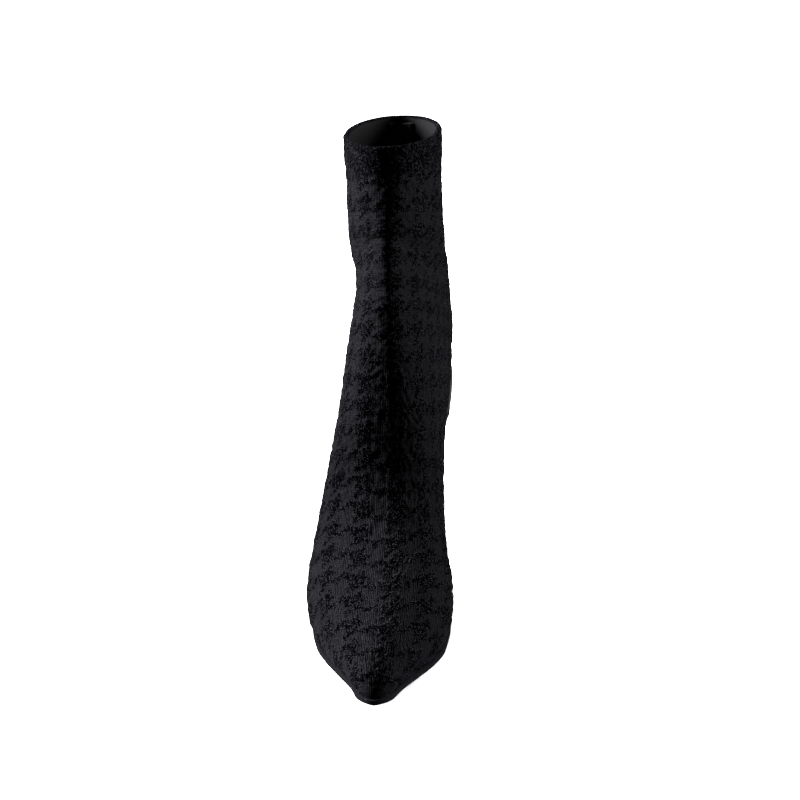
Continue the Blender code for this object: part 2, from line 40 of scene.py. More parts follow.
# What a user would change is in one dictionary for each piece. Boot and sole come first, as
# every shape reads them, and the others stand beside their code. Lengths are in millimetres.
boot = {
    "footLength": 252.0, "ballWidth": 67.0, "heelHeight": 76.0, "toeSpring": 9.0, "toeShift": 3.0,
    "soleThickness": 4.0, "bendRise": 140.0, "collarHeight": 214.0, "collarTilt": math.radians(1.5),
    "wall": 2.2, "heelRounding": 24.0, "toeRounding": 9.0, "toeTopRounding": 12.0,
    "shiftStart": 0.35, "shiftPower": 1.6, "clearance": 0.3,
}
sole = {"rows": 120, "rimPoints": 6, "underPoints": 6, "margin": 0.9, "archCrown": 2.6,
        "rimWidth": 8.0, "rimLift": 1.3, "rimPower": 1.5, "widestRim": 0.6,
        "seamStation": 0.215, "end": 0.994, "bevel": 0.45}

mm = 0.001

soleTable = np.array((
    # station, medial, lateral, pitch, spring, crown
    (0.00, 0.300, 0.300, 1.000, 0.00, 1.0),
    (0.08, 0.322, 0.322, 0.965, 0.00, 1.0),
    (0.16, 0.336, 0.336, 0.890, 0.00, 1.0),
    (0.24, 0.314, 0.336, 0.780, 0.00, 1.0),
    (0.32, 0.264, 0.321, 0.645, 0.00, 1.0),
    (0.40, 0.222, 0.307, 0.485, 0.00, 1.0),
    (0.48, 0.214, 0.321, 0.315, 0.00, 0.7),
    (0.56, 0.264, 0.386, 0.155, 0.00, 0.2),
    (0.62, 0.343, 0.461, 0.052, 0.00, 0.0),
    (0.67, 0.400, 0.514, 0.008, 0.00, 0.0),
    (0.71, 0.424, 0.530, 0.000, 0.00, 0.0),
    (0.78, 0.400, 0.470, 0.000, 0.00, 0.0),
    (0.83, 0.338, 0.382, 0.000, 0.10, 0.0),
    (0.88, 0.243, 0.273, 0.000, 0.28, 0.0),
    (0.94, 0.142, 0.154, 0.000, 0.60, 0.0),
    (1.00, 0.085, 0.085, 0.000, 1.00, 0.0),
))
soleKeys = ("station", "medial", "lateral", "pitch", "spring", "crown")
upperTable = np.array((
    # path, sole, back, rise, top, front, medial, lateral, widest, power, lowPower
    (0.00, 1.000, 0.0000, 0.00, 1.0000, 0.075, 0.095, 0.095, 0.36, 2.20, 2.0),
    (0.04, 0.960, 0.0000, 0.00, 0.9580, 0.097, 0.137, 0.144, 0.35, 2.20, 2.0),
    (0.08, 0.920, 0.0000, 0.00, 0.9170, 0.134, 0.202, 0.220, 0.33, 2.20, 2.0),
    (0.14, 0.860, 0.0000, 0.00, 0.8510, 0.189, 0.314, 0.347, 0.30, 2.10, 2.0),
    (0.20, 0.800, 0.0000, 0.00, 0.7860, 0.239, 0.410, 0.470, 0.28, 2.10, 2.0),
    (0.26, 0.740, 0.0000, 0.00, 0.7140, 0.296, 0.459, 0.560, 0.27, 2.05, 2.0),
    (0.32, 0.680, 0.0000, 0.00, 0.6510, 0.365, 0.452, 0.592, 0.27, 1.95, 2.0),
    (0.38, 0.620, 0.0000, 0.00, 0.6030, 0.451, 0.410, 0.572, 0.28, 1.90, 2.0),
    (0.44, 0.560, 0.0000, 0.00, 0.5690, 0.564, 0.384, 0.530, 0.29, 1.90, 2.0),
    (0.52, 0.480, 0.0000, 0.00, 0.5400, 0.679, 0.366, 0.478, 0.30, 1.90, 2.0),
    (0.62, 0.380, 0.0000, 0.00, 0.5160, 0.782, 0.360, 0.430, 0.31, 1.92, 2.1),
    (0.74, 0.255, 0.0000, 0.00, 0.4960, 0.869, 0.358, 0.405, 0.31, 1.92, 2.3),
    (0.87, 0.110, 0.0000, 0.00, 0.4800, 0.931, 0.356, 0.388, 0.29, 1.92, 2.5),
    (1.00, 0.000, 0.0000, 0.00, 0.4680, 1.000, 0.356, 0.378, 0.27, 1.92, 2.5),
    (1.13, 0.000, -0.0100, 0.09, 0.4645, 1.026, 0.352, 0.373, 0.28, 1.92, 2.3),
    (1.26, 0.000, -0.0120, 0.20, 0.4610, 1.049, 0.346, 0.368, 0.33, 1.95, 2.1),
    (1.38, 0.000, 0.0200, 0.31, 0.4580, 1.068, 0.350, 0.372, 0.39, 1.97, 2.0),
    (1.50, 0.000, 0.0615, 0.43, 0.4550, 1.089, 0.347, 0.367, 0.43, 2.00, 2.0),
    (1.64, 0.000, 0.0850, 0.58, 0.4500, 1.118, 0.346, 0.360, 0.46, 2.00, 2.0),
    (1.76, 0.000, 0.0930, 0.72, 0.4440, 1.157, 0.346, 0.353, 0.48, 2.05, 2.0),
    (1.88, 0.000, 0.0950, 0.86, 0.4370, 1.225, 0.346, 0.348, 0.50, 2.05, 2.0),
    (2.00, 0.000, 0.0950, 1.00, 0.4290, 1.329, 0.346, 0.346, 0.50, 2.10, 2.1),
))
upperKeys = ("path", "sole", "back", "rise", "top", "front", "medial", "lateral", "widest",
             "power", "lowPower")
heelTable = np.array((
    # drop, back, front, width, straight
    (0.00, 0.0000, 0.0000, 0.697, 0.54),
    (0.05, 0.0066, 0.0000, 0.690, 0.54),
    (0.12, 0.0266, 0.0000, 0.645, 0.53),
    (0.22, 0.0592, -0.0095, 0.535, 0.50),
    (0.35, 0.1000, -0.0167, 0.385, 0.46),
    (0.50, 0.1373, -0.0191, 0.230, 0.44),
    (0.66, 0.1552, -0.0189, 0.162, 0.42),
    (0.82, 0.1546, -0.0139, 0.190, 0.44),
    (0.93, 0.1466, -0.0044, 0.252, 0.47),
    (1.00, 0.1409, 0.0051, 0.313, 0.50),
))
heelKeys = ("drop", "back", "front", "width", "straight")
tables = {
    "sole": dict(zip(soleKeys, soleTable.T)),
    "upper": dict(zip(upperKeys, upperTable.T)),
    "heel": dict(zip(heelKeys, heelTable.T)),
}


# Shape of the last, as the measured model has it
def smoothRead(keys, values, at):
    steps = np.diff(keys)
    slopes = np.diff(values) / steps
    inner = np.zeros(len(slopes) - 1)
    sameWay = slopes[:-1] * slopes[1:] > 0
    weightA = 2 * steps[1:] + steps[:-1]
    weightB = steps[1:] + 2 * steps[:-1]
    total = (weightA + weightB)[sameWay]
    inner[sameWay] = total / (weightA[sameWay] / slopes[:-1][sameWay]
                              + weightB[sameWay] / slopes[1:][sameWay])
    tangents = np.concatenate(([slopes[0]], inner, [slopes[-1]]))
    at = np.clip(at, keys[0], keys[-1])
    cell = np.clip(np.searchsorted(keys, at, side="right") - 1, 0, len(steps) - 1)
    size = steps[cell]
    t = (at - keys[cell]) / size
    return ((1 + 2 * t) * (1 - t) ** 2 * values[cell] + t * (1 - t) ** 2 * size * tangents[cell]
            + t * t * (3 - 2 * t) * values[cell + 1] + t * t * (t - 1) * size * tangents[cell + 1])


def soleAt(name, station):
    return smoothRead(tables["sole"]["station"], tables["sole"][name], station)


def upperAt(name, path):
    return smoothRead(tables["upper"]["path"], tables["upper"][name], path)


def heelAt(name, drop):
    return smoothRead(tables["heel"]["drop"], tables["heel"][name], drop)


def rounded(distance, length):
    share = np.clip(distance / length, 0.0, 1.0)
    return np.sqrt(np.clip(1.0 - (1.0 - share) ** 2, 0.0, 1.0))


def smoothStep(value, low, high):
    share = np.clip((value - low) / (high - low), 0.0, 1.0)
    return share * share * (3.0 - 2.0 * share)


def middleLine(station):
    share = np.clip((station - boot["shiftStart"]) / (1.0 - boot["shiftStart"]), 0.0, 1.0)
    return boot["toeShift"] * share ** boot["shiftPower"]


def featherHeight(station):
    pitch = soleAt("pitch", station) * (boot["heelHeight"] - boot["soleThickness"])
    return boot["soleThickness"] + pitch + soleAt("spring", station) * boot["toeSpring"]


def halfWidth(station, side):
    along = station * boot["footLength"]
    ends = rounded(along, boot["heelRounding"])
    ends = ends * rounded(boot["footLength"] - along, boot["toeRounding"])
    return soleAt("medial" if side > 0 else "lateral", station) * boot["ballWidth"] * ends


def stations(share):
    return (1.0 - np.cos(np.pi * share)) / 2.0


def edgePlace(share, side):
    station = stations(share)
    return middleLine(station) + side * halfWidth(station, side), station * boot["footLength"]


def edgeLine(share, side, margin):
    x, along = edgePlace(share, side)
    xLow, alongLow = edgePlace(np.clip(share - 1e-4, 0.0, 1.0), side)
    xHigh, alongHigh = edgePlace(np.clip(share + 1e-4, 0.0, 1.0), side)
    run = np.hypot(xHigh - xLow, alongHigh - alongLow)
    return (x + margin * side * (alongHigh - alongLow) / run,
            along - margin * side * (xHigh - xLow) / run)


def collarHeight(along):
    middle = (upperAt("back", 2.0) + upperAt("top", 2.0)) / 2.0 * boot["footLength"]
    return boot["collarHeight"] + (along - middle) * math.tan(boot["collarTilt"])


def sectionFrame(path):
    topStation = upperAt("top", path)
    topAlong = topStation * boot["footLength"]
    floorHeight = featherHeight(topStation)
    front = upperAt("front", path)
    start = rounded(path * boot["footLength"], boot["toeTopRounding"])
    rise = min(front, 1.0) * boot["bendRise"] * start
    shaft = collarHeight(topAlong) - floorHeight - boot["bendRise"]
    above = max(front - 1.0, 0.0) / (tables["upper"]["front"][-1] - 1.0)
    if path <= 1.0:
        lowAlong = upperAt("sole", path) * boot["footLength"]
        lowHeight = featherHeight(lowAlong / boot["footLength"])
    else:
        lowAlong = upperAt("back", path) * boot["footLength"]
        backHeight = collarHeight(lowAlong) - boot["heelHeight"]
        lowHeight = boot["heelHeight"] + upperAt("rise", path) * backHeight
    return (lowAlong, lowHeight), (topAlong, floorHeight + rise + above * shaft)


def halfSection(path, side, height):
    steps = 200
    widest = upperAt("medial" if side > 0 else "lateral", path) * boot["ballWidth"]
    widest = widest * rounded(path * boot["footLength"], boot["toeRounding"])
    reach = halfWidth(upperAt("sole", path), side) if path < 1.0 else 0.0
    widest = max(widest, reach * 1.01, 1e-6)
    swell = upperAt("widest", path) * height
    power = 2.0 / upperAt("power", path)
    turn = np.linspace(np.pi / 2, 0.0, steps)
    upperX = widest * np.cos(turn) ** power
    upperV = swell + (height - swell) * np.sin(turn) ** power
    power = 2.0 / upperAt("lowPower", path)
    last = math.acos(min(reach / widest, 1.0) ** (1.0 / power))
    turn = np.linspace(0.0, last, steps)[1:]
    lowerX = widest * np.clip(np.cos(turn), 0.0, 1.0) ** power
    lowerV = swell * (1.0 - (np.sin(turn) / math.sin(last)) ** power)
    return np.concatenate((upperX, lowerX)), np.concatenate((upperV, lowerV))


def upperRow(path, places):
    # Points of the outer face and the girth from the top line to each of them
    low, top = sectionFrame(path)
    height = math.hypot(top[0] - low[0], top[1] - low[1])
    middleLow = middleLine(upperAt("sole", path))
    middleTop = middleLine(top[0] / boot["footLength"])
    points = np.zeros((len(places), 3))
    girth = np.zeros(len(places))
    for side in (1, -1):
        x, v = halfSection(path, side, height)
        lengths = np.concatenate(([0.0], np.cumsum(np.hypot(np.diff(x), np.diff(v)))))
        chosen = places <= 0 if side > 0 else places > 0
        at = np.abs(places[chosen]) * lengths[-1]
        share = np.interp(at, lengths, v) / max(height, 1e-6)
        points[chosen, 0] = (side * np.interp(at, lengths, x) + middleLow
                             + (middleTop - middleLow) * share)
        points[chosen, 1] = low[0] + (top[0] - low[0]) * share
        points[chosen, 2] = low[1] + (top[1] - low[1]) * share
        girth[chosen] = -side * at
    return points, girth


def upperNormals(path, places):
    if path <= 0.0:
        return np.tile((0.0, 1.0, 0.0), (len(places), 1))
    step = 0.004
    before = places - step
    after = places + step
    if path >= 1.0:
        before = np.where(before < -1.0, before + 2.0, before)
        after = np.where(after > 1.0, after - 2.0, after)
    before = np.clip(before, -1.0, 1.0)
    after = np.clip(after, -1.0, 1.0)
    across = upperRow(path, after)[0] - upperRow(path, before)[0]
    pathStep = min(step, path / 2.0)
    along = upperRow(min(path + pathStep, 2.0), places)[0] - upperRow(path - pathStep, places)[0]
    normals = np.cross(across, along)
    return normals / np.maximum(np.linalg.norm(normals, axis=1, keepdims=True), 1e-9)


def heelLine(drop):
    back = -sole["margin"] + heelAt("back", drop) * boot["footLength"]
    front = sole["seamStation"] * boot["footLength"] - boot["clearance"]
    front = front + heelAt("front", drop) * boot["footLength"]
    return back, front, heelAt("width", drop) * boot["ballWidth"]


restAlong = sum(heelLine(1.0)[:2]) / 2.0


def toMetres(points):
    return np.stack((points[..., 0], restAlong - points[..., 1], points[..., 2]), axis=-1) * mm


# Mesh making: a grid primitive whose vertices are placed row by row
def deselectAll():
    if bpy.context.object and bpy.context.object.mode != "OBJECT":
        bpy.ops.object.mode_set(mode="OBJECT")
    bpy.ops.object.select_all(action="DESELECT")


def makeActive(piece):
    deselectAll()
    piece.select_set(True)
    bpy.context.view_layer.objects.active = piece


def gridPiece(name, points, uv=None, caps=False, plain=None):
    rows, columns = points.shape[:2]
    deselectAll()
    bpy.ops.mesh.primitive_grid_add(x_subdivisions=columns - 1, y_subdivisions=rows - 1, size=1.0)
    piece = bpy.context.object
    piece.name = name
    piece.data.name = name
    mesh = piece.data
    mesh.vertices.foreach_set("co", toMetres(points).reshape(-1).astype(np.float32))
    if uv is not None:
        corners = np.zeros(len(mesh.loops), dtype=np.int32)
        mesh.loops.foreach_get("vertex_index", corners)
        flat = uv.reshape(-1, 2)[corners]
        mesh.uv_layers[0].data.foreach_set("uv", flat.reshape(-1).astype(np.float32))
        mesh.uv_layers[0].name = "knitMap"
    if plain is not None:
        marks = mesh.attributes.new("plainKnit", "FLOAT", "POINT")
        marks.data.foreach_set("value", plain.reshape(-1).astype(np.float32))
    mesh.update()
    bpy.ops.object.mode_set(mode="EDIT")
    bpy.ops.mesh.select_all(action="SELECT")
    bpy.ops.mesh.remove_doubles(threshold=1e-6)
    if caps:
        bpy.ops.mesh.select_all(action="DESELECT")
        bpy.ops.mesh.select_mode(type="EDGE")
        bpy.ops.mesh.select_non_manifold(extend=False, use_wire=False, use_boundary=True,
                                         use_multi_face=False, use_non_contiguous=False,
                                         use_verts=False)
        bpy.ops.mesh.edge_face_add()
        bpy.ops.mesh.select_mode(type="VERT")
    bpy.ops.mesh.select_all(action="SELECT")
    bpy.ops.mesh.normals_make_consistent(inside=False)
    bpy.ops.object.mode_set(mode="OBJECT")
    return piece


def ringPiece(name, loops):
    # A closed solid through a row of closed loops
    points = np.array([np.vstack((loop, loop[:1])) for loop in loops])
    return gridPiece(name, points, caps=True)


def applyModifier(piece, kind, **values):
    makeActive(piece)
    modifier = piece.modifiers.new(kind.lower(), kind)
    for key, value in values.items():
        setattr(modifier, key, value)
    bpy.ops.object.modifier_apply(modifier=modifier.name)


def smoothByAngle(piece, degrees):
    makeActive(piece)
    bpy.ops.object.shade_smooth_by_angle(angle=math.radians(degrees))


# Materials
def newMaterial(name, colour, roughness, values=None):
    made = bpy.data.materials.new(name)
    made.use_nodes = True
    shader = made.node_tree.nodes["Principled BSDF"]
    shader.inputs["Base Color"].default_value = (*colour, 1.0)
    shader.inputs["Roughness"].default_value = roughness
    for key, value in (values or {}).items():
        shader.inputs[key].default_value = value
    return made, made.node_tree, shader


def addNode(tree, kind, values=None, **settings):
    node = tree.nodes.new(kind)
    for key, value in settings.items():
        setattr(node, key, value)
    for key, value in (values or {}).items():
        node.inputs[key].default_value = value
    return node


def mathNode(tree, operation, first, second=None, third=None):
    node = tree.nodes.new("ShaderNodeMath")
    node.operation = operation
    for place, value in enumerate((first, second, third)):
        if value is None:
            continue
        if isinstance(value, (int, float)):
            node.inputs[place].default_value = value
        else:
            tree.links.new(value, node.inputs[place])
    return node.outputs[0]


# One repeat of the check in millimetres and in threads. Scales are per millimetre, relief in metres
knitLook = {
    "patchWidth": 17.35, "patchHeight": 12.4, "threads": 8.0, "patchThreads": 4.0,
    "twill": 4.0, "twillOver": 2.0, "wanderScale": 0.75, "wander": 2.6,
    "loopScale": 1.15, "fineScale": 2.6, "fineShare": 0.9, "headLow": 1.00, "headHigh": 1.42,
    "ribScale": 7.4, "ribShare": 0.15, "crossScale": 5.6, "crossShare": 0.06,
    "relief": 0.0016, "patchShare": 0.72, "groundRough": 0.92, "patchRough": 0.68,
    "gap": (0.0003, 0.0003, 0.0004, 1.0), "head": (0.0350, 0.0343, 0.0383, 1.0),
    "patchDark": (0.0062, 0.0061, 0.0069, 1.0), "patchPale": (0.0092, 0.0090, 0.0103, 1.0),
}


def checkGroup():
    # Patch mask of the woven check: 1 in the smooth patches, 0 in the looped ground.
    # A thread's number is whole, so the limits lie half a thread lower
    group = bpy.data.node_groups.new("checkMask", "ShaderNodeTree")
    group.interface.new_socket("Across", in_out="INPUT", socket_type="NodeSocketFloat")
    group.interface.new_socket("Along", in_out="INPUT", socket_type="NodeSocketFloat")
    group.interface.new_socket("Mask", in_out="OUTPUT", socket_type="NodeSocketFloat")
    source = group.nodes.new("NodeGroupInput")
    sink = group.nodes.new("NodeGroupOutput")
    across = mathNode(group, "FLOOR", mathNode(group, "MULTIPLY", source.outputs["Across"],
                                               knitLook["threads"] / knitLook["patchWidth"]))
    along = mathNode(group, "FLOOR", mathNode(group, "MULTIPLY", source.outputs["Along"],
                                              knitLook["threads"] / knitLook["patchHeight"]))
    diagonal = mathNode(group, "FLOORED_MODULO", mathNode(group, "ADD", across, along),
                        knitLook["twill"])
    twill = mathNode(group, "LESS_THAN", diagonal, knitLook["twillOver"] - 0.5)
    warp = mathNode(group, "LESS_THAN",
                    mathNode(group, "FLOORED_MODULO", across, knitLook["threads"]),
                    knitLook["patchThreads"] - 0.5)
    weft = mathNode(group, "LESS_THAN",
                    mathNode(group, "FLOORED_MODULO", along, knitLook["threads"]),
                    knitLook["patchThreads"] - 0.5)
    onWarp = mathNode(group, "MULTIPLY", twill, warp)
    onWeft = mathNode(group, "MULTIPLY", mathNode(group, "SUBTRACT", 1.0, twill), weft)
    group.links.new(mathNode(group, "ADD", onWarp, onWeft), sink.inputs["Mask"])
    return group


def knitMaterial():
    made, tree, shader = newMaterial("blackKnit", (0.02, 0.02, 0.024), 0.85, {
        "Sheen Weight": 0.012, "Sheen Roughness": 0.30, "Sheen Tint": (0.72, 0.70, 0.90, 1.0),
        "Specular IOR Level": 0.0})
    place = addNode(tree, "ShaderNodeUVMap", uv_map="knitMap")
    # The map is in metres along the knit, so this brings it to millimetres
    inMm = addNode(tree, "ShaderNodeVectorMath", {1: (1000.0, 1000.0, 1000.0)},
                   operation="MULTIPLY")
    tree.links.new(place.outputs["UV"], inMm.inputs[0])
    wander = addNode(tree, "ShaderNodeTexNoise", {"Scale": knitLook["wanderScale"], "Detail": 3.0})
    tree.links.new(inMm.outputs[0], wander.inputs["Vector"])
    centred = addNode(tree, "ShaderNodeVectorMath", {1: (0.5, 0.5, 0.5)}, operation="SUBTRACT")
    tree.links.new(wander.outputs["Color"], centred.inputs[0])
    ragged = addNode(tree, "ShaderNodeVectorMath", {1: (knitLook["wander"], knitLook["wander"], 0.0)},
                     operation="MULTIPLY_ADD")
    tree.links.new(centred.outputs[0], ragged.inputs[0])
    tree.links.new(inMm.outputs[0], ragged.inputs[2])
    split = addNode(tree, "ShaderNodeSeparateXYZ")
    tree.links.new(ragged.outputs[0], split.inputs[0])
    check = tree.nodes.new("ShaderNodeGroup")
    check.node_tree = checkGroup()
    tree.links.new(split.outputs["X"], check.inputs["Across"])
    tree.links.new(split.outputs["Y"], check.inputs["Along"])
    straight = addNode(tree, "ShaderNodeSeparateXYZ")
    tree.links.new(inMm.outputs[0], straight.inputs[0])
    plain = addNode(tree, "ShaderNodeAttribute", attribute_name="plainKnit")
    mask = mathNode(tree, "MULTIPLY", check.outputs["Mask"],
                    mathNode(tree, "SUBTRACT", 1.0, plain.outputs["Fac"]))
    # Looped ground: rounded loop heads of about a millimetre
    loops = addNode(tree, "ShaderNodeTexVoronoi", {"Scale": knitLook["loopScale"], "Randomness": 0.9},
                    feature="F1", distance="EUCLIDEAN")
    tree.links.new(inMm.outputs[0], loops.inputs["Vector"])
    loopHeight = mathNode(tree, "SUBTRACT", 1.0, loops.outputs["Distance"])
    fine = addNode(tree, "ShaderNodeTexNoise", {"Scale": knitLook["fineScale"], "Detail": 3.0,
                                                "Roughness": 0.7})
    tree.links.new(inMm.outputs[0], fine.inputs["Vector"])
    loopHeight = mathNode(tree, "ADD", loopHeight,
                          mathNode(tree, "MULTIPLY", fine.outputs["Fac"], knitLook["fineShare"]))
    # Smooth patches: fine ribs along the foot
    ribTurn = mathNode(tree, "MULTIPLY", straight.outputs["X"], knitLook["ribScale"])
    rib = mathNode(tree, "SINE", ribTurn)
    crossTurn = mathNode(tree, "MULTIPLY", straight.outputs["Y"], knitLook["crossScale"])
    cross = mathNode(tree, "SINE", crossTurn)
    ribHeight = mathNode(tree, "ADD", mathNode(tree, "MULTIPLY", rib, knitLook["ribShare"]),
                         mathNode(tree, "MULTIPLY", cross, knitLook["crossShare"]))
    height = addNode(tree, "ShaderNodeMix", data_type="FLOAT")
    tree.links.new(mask, height.inputs["Factor"])
    tree.links.new(loopHeight, height.inputs["A"])
    tree.links.new(ribHeight, height.inputs["B"])
    bump = addNode(tree, "ShaderNodeBump", {"Strength": 1.0, "Distance": knitLook["relief"]})
    tree.links.new(height.outputs["Result"], bump.inputs["Height"])
    tree.links.new(bump.outputs["Normal"], shader.inputs["Normal"])
    # Loop heads catch more light than the gaps between them
    heads = addNode(tree, "ShaderNodeMapRange", {"From Min": knitLook["headLow"],
                                                  "From Max": knitLook["headHigh"]})
    tree.links.new(loopHeight, heads.inputs["Value"])
    ground = addNode(tree, "ShaderNodeMix", {"A": knitLook["gap"], "B": knitLook["head"]},
                     data_type="RGBA")
    tree.links.new(heads.outputs["Result"], ground.inputs["Factor"])
    # Painted light and shade on the smooth patches: their colour follows the rib, paler on each rib's
    # crest and darker between the ribs
    patch = addNode(tree, "ShaderNodeMix", {"A": knitLook["patchDark"], "B": knitLook["patchPale"]},
                    data_type="RGBA")
    tree.links.new(mathNode(tree, "MULTIPLY_ADD", rib, 0.5, 0.5), patch.inputs["Factor"])
    colour = addNode(tree, "ShaderNodeMix", data_type="RGBA")
    tree.links.new(mathNode(tree, "MULTIPLY", mask, knitLook["patchShare"]), colour.inputs["Factor"])
    tree.links.new(ground.outputs["Result"], colour.inputs["A"])
    tree.links.new(patch.outputs["Result"], colour.inputs["B"])
    tree.links.new(colour.outputs["Result"], shader.inputs["Base Color"])
    rough = addNode(tree, "ShaderNodeMix", {"A": knitLook["groundRough"],
                                            "B": knitLook["patchRough"]}, data_type="FLOAT")
    tree.links.new(mask, rough.inputs["Factor"])
    tree.links.new(rough.outputs["Result"], shader.inputs["Roughness"])
    return made


def clothMaterial(name, colour, pitch, sheen):
    # Plain woven cloth in object coordinates, for the lining, the tape and the sock
    made, tree, shader = newMaterial(name, colour, 0.78, {
        "Sheen Weight": sheen, "Specular IOR Level": 0.03})
    place = addNode(tree, "ShaderNodeTexCoord")
    noise = addNode(tree, "ShaderNodeTexNoise", {"Scale": 1.0 / pitch, "Detail": 3.0})
    tree.links.new(place.outputs["Object"], noise.inputs["Vector"])
    bump = addNode(tree, "ShaderNodeBump", {"Strength": 0.5, "Distance": 0.0003})
    tree.links.new(noise.outputs["Fac"], bump.inputs["Height"])
    tree.links.new(bump.outputs["Normal"], shader.inputs["Normal"])
    return made


def glossMaterial():
    made, tree, shader = newMaterial("blackGloss", (0.006, 0.006, 0.007), 0.10, {
        "Coat Weight": 0.6, "Coat Roughness": 0.04})
    place = addNode(tree, "ShaderNodeTexCoord")
    noise = addNode(tree, "ShaderNodeTexNoise", {"Scale": 60.0, "Detail": 2.0})
    tree.links.new(place.outputs["Object"], noise.inputs["Vector"])
    spread = addNode(tree, "ShaderNodeMapRange", {"To Min": 0.07, "To Max": 0.15})
    tree.links.new(noise.outputs["Fac"], spread.inputs["Value"])
    tree.links.new(spread.outputs["Result"], shader.inputs["Roughness"])
    return made


def rubberMaterial():
    made, tree, shader = newMaterial("blackRubber", (0.010, 0.010, 0.011), 0.62)
    place = addNode(tree, "ShaderNodeTexCoord")
    noise = addNode(tree, "ShaderNodeTexNoise", {"Scale": 1800.0, "Detail": 2.0})
    tree.links.new(place.outputs["Object"], noise.inputs["Vector"])
    bump = addNode(tree, "ShaderNodeBump", {"Strength": 0.3, "Distance": 0.0001})
    tree.links.new(noise.outputs["Fac"], bump.inputs["Height"])
    tree.links.new(bump.outputs["Normal"], shader.inputs["Normal"])
    return made


knit = knitMaterial()
lining = clothMaterial("darkLining", (0.0015, 0.0015, 0.0018), 0.0006, 0.0)
sockCloth = clothMaterial("insoleSock", (0.006, 0.006, 0.007), 0.0008, 0.0)
tapeCloth = clothMaterial("seamTape", (0.022, 0.022, 0.025), 0.0005, 0.05)
thread = clothMaterial("stitchThread", (0.006, 0.006, 0.007), 0.0003, 0.05)
gloss = glossMaterial()
rubber = rubberMaterial()
print("materials made")


# Upper: knit skin with its relief, and the lining inside it
upper = {
    "columns": 200, "rows": 318, "liningColumns": 64, "rimRows": 7,
    "cuffDepth": 12.0, "cuffStep": 0.5, "cuffBlend": 1.6, "rimLift": 1.3,
    "patchRelief": 0.34, "patchBlur": 0.55, "tilePoints": 96,
    "fuzz": 0.42, "fuzzSpacing": 1.35, "fuzzSeed": 7, "rimFuzz": 0.7, "rimMapStep": 0.6,
    # shares of the path or of half the girth over which the relief fades or is evened out
    "toeBlend": 0.02, "edgeBlend": 0.03, "seamBlend": 0.04,
    # path value from which the map's front and back run alike
    "mapSettle": 1.75,
}


def checkTile():
    # One repeat of the check as a blurred height tile, for the relief in the mesh
    size = upper["tilePoints"]
    threads = knitLook["threads"]
    patchEnd = knitLook["patchThreads"] - 0.5
    grid = (np.arange(size) + 0.5) / size * threads
    across, along = np.meshgrid(np.floor(grid), np.floor(grid), indexing="ij")
    twill = (across + along) % knitLook["twill"] < knitLook["twillOver"] - 0.5
    tile = np.where(twill, across % threads < patchEnd, along % threads < patchEnd).astype(float)
    frequency = np.fft.fftfreq(size)
    blurAcross = upper["patchBlur"] * size / knitLook["patchWidth"]
    blurAlong = upper["patchBlur"] * size / knitLook["patchHeight"]
    kernel = np.exp(-2 * np.pi ** 2 * ((frequency[:, None] * blurAcross) ** 2
                                       + (frequency[None, :] * blurAlong) ** 2))
    return np.real(np.fft.ifft2(np.fft.fft2(tile) * kernel))


def checkHeight(tile, across, along):
    size = tile.shape[0]
    i = np.floor(across / knitLook["patchWidth"] * size).astype(int) % size
    j = np.floor(along / knitLook["patchHeight"] * size).astype(int) % size
    return tile[i, j]


def softNoise(shape, spacing, seed):
    # Smooth noise on a grid, from a seeded coarse grid
    random = np.random.default_rng(seed)
    rows = int(shape[0] / spacing) + 3
    columns = int(shape[1] / spacing) + 3
    coarse = random.uniform(-1.0, 1.0, (rows, columns))
    coarse[:, -3:] = coarse[:, :3]
    y = np.linspace(0, rows - 2.001, shape[0])
    x = np.linspace(0, columns - 3.0, shape[1])
    i = y.astype(int)[:, None]
    j = x.astype(int)[None, :]
    fy = y[:, None] - i
    fx = x[None, :] - j
    fy = fy * fy * (3 - 2 * fy)
    fx = fx * fx * (3 - 2 * fx)
    return ((coarse[i, j] * (1 - fx) + coarse[i, j + 1] * fx) * (1 - fy)
            + (coarse[i + 1, j] * (1 - fx) + coarse[i + 1, j + 1] * fx) * fy)


def spreadPaths(count):
    # Path values evenly spaced by the mean travel of front and low line, close at the toe
    fine = np.concatenate((np.linspace(0.0, 0.02, 60)[:-1], np.linspace(0.02, 2.0, 1200)))
    line = np.array([np.array(sectionFrame(path)).reshape(-1) for path in fine])
    low = np.hypot(np.diff(line[:, 0]), np.diff(line[:, 1]))
    top = np.hypot(np.diff(line[:, 2]), np.diff(line[:, 3]))
    travel = np.concatenate(([0.0], np.cumsum((low + top) / 2.0)))
    lowRun = np.concatenate(([0.0], np.cumsum(low)))
    topRun = np.concatenate(([0.0], np.cumsum(top)))
    paths = np.interp(np.linspace(0.0, travel[-1], count), travel, fine)
    return paths, np.interp(paths, fine, lowRun), np.interp(paths, fine, topRun)


folds = {
    # height up the shaft's front as a path value, depth, reach along the path, side bias
    "rows": ((1.02, 0.55, 0.045, 0.2), (1.20, 0.45, 0.040, -0.3), (0.84, 0.50, 0.040, -0.2),
             (0.66, 0.35, 0.035, 0.3)),
    "lag": 0.05, "spread": 0.34, "sideReach": 0.3,
}


def foldDepth(path, places):
    depth = np.zeros(len(places))
    for centre, size, reach, bias in folds["rows"]:
        along = (path + folds["lag"] * np.abs(places) - centre) / reach
        around = (places - bias * folds["sideReach"]) / folds["spread"]
        depth += size * np.exp(-along ** 2) * np.exp(-around ** 2)
    return depth


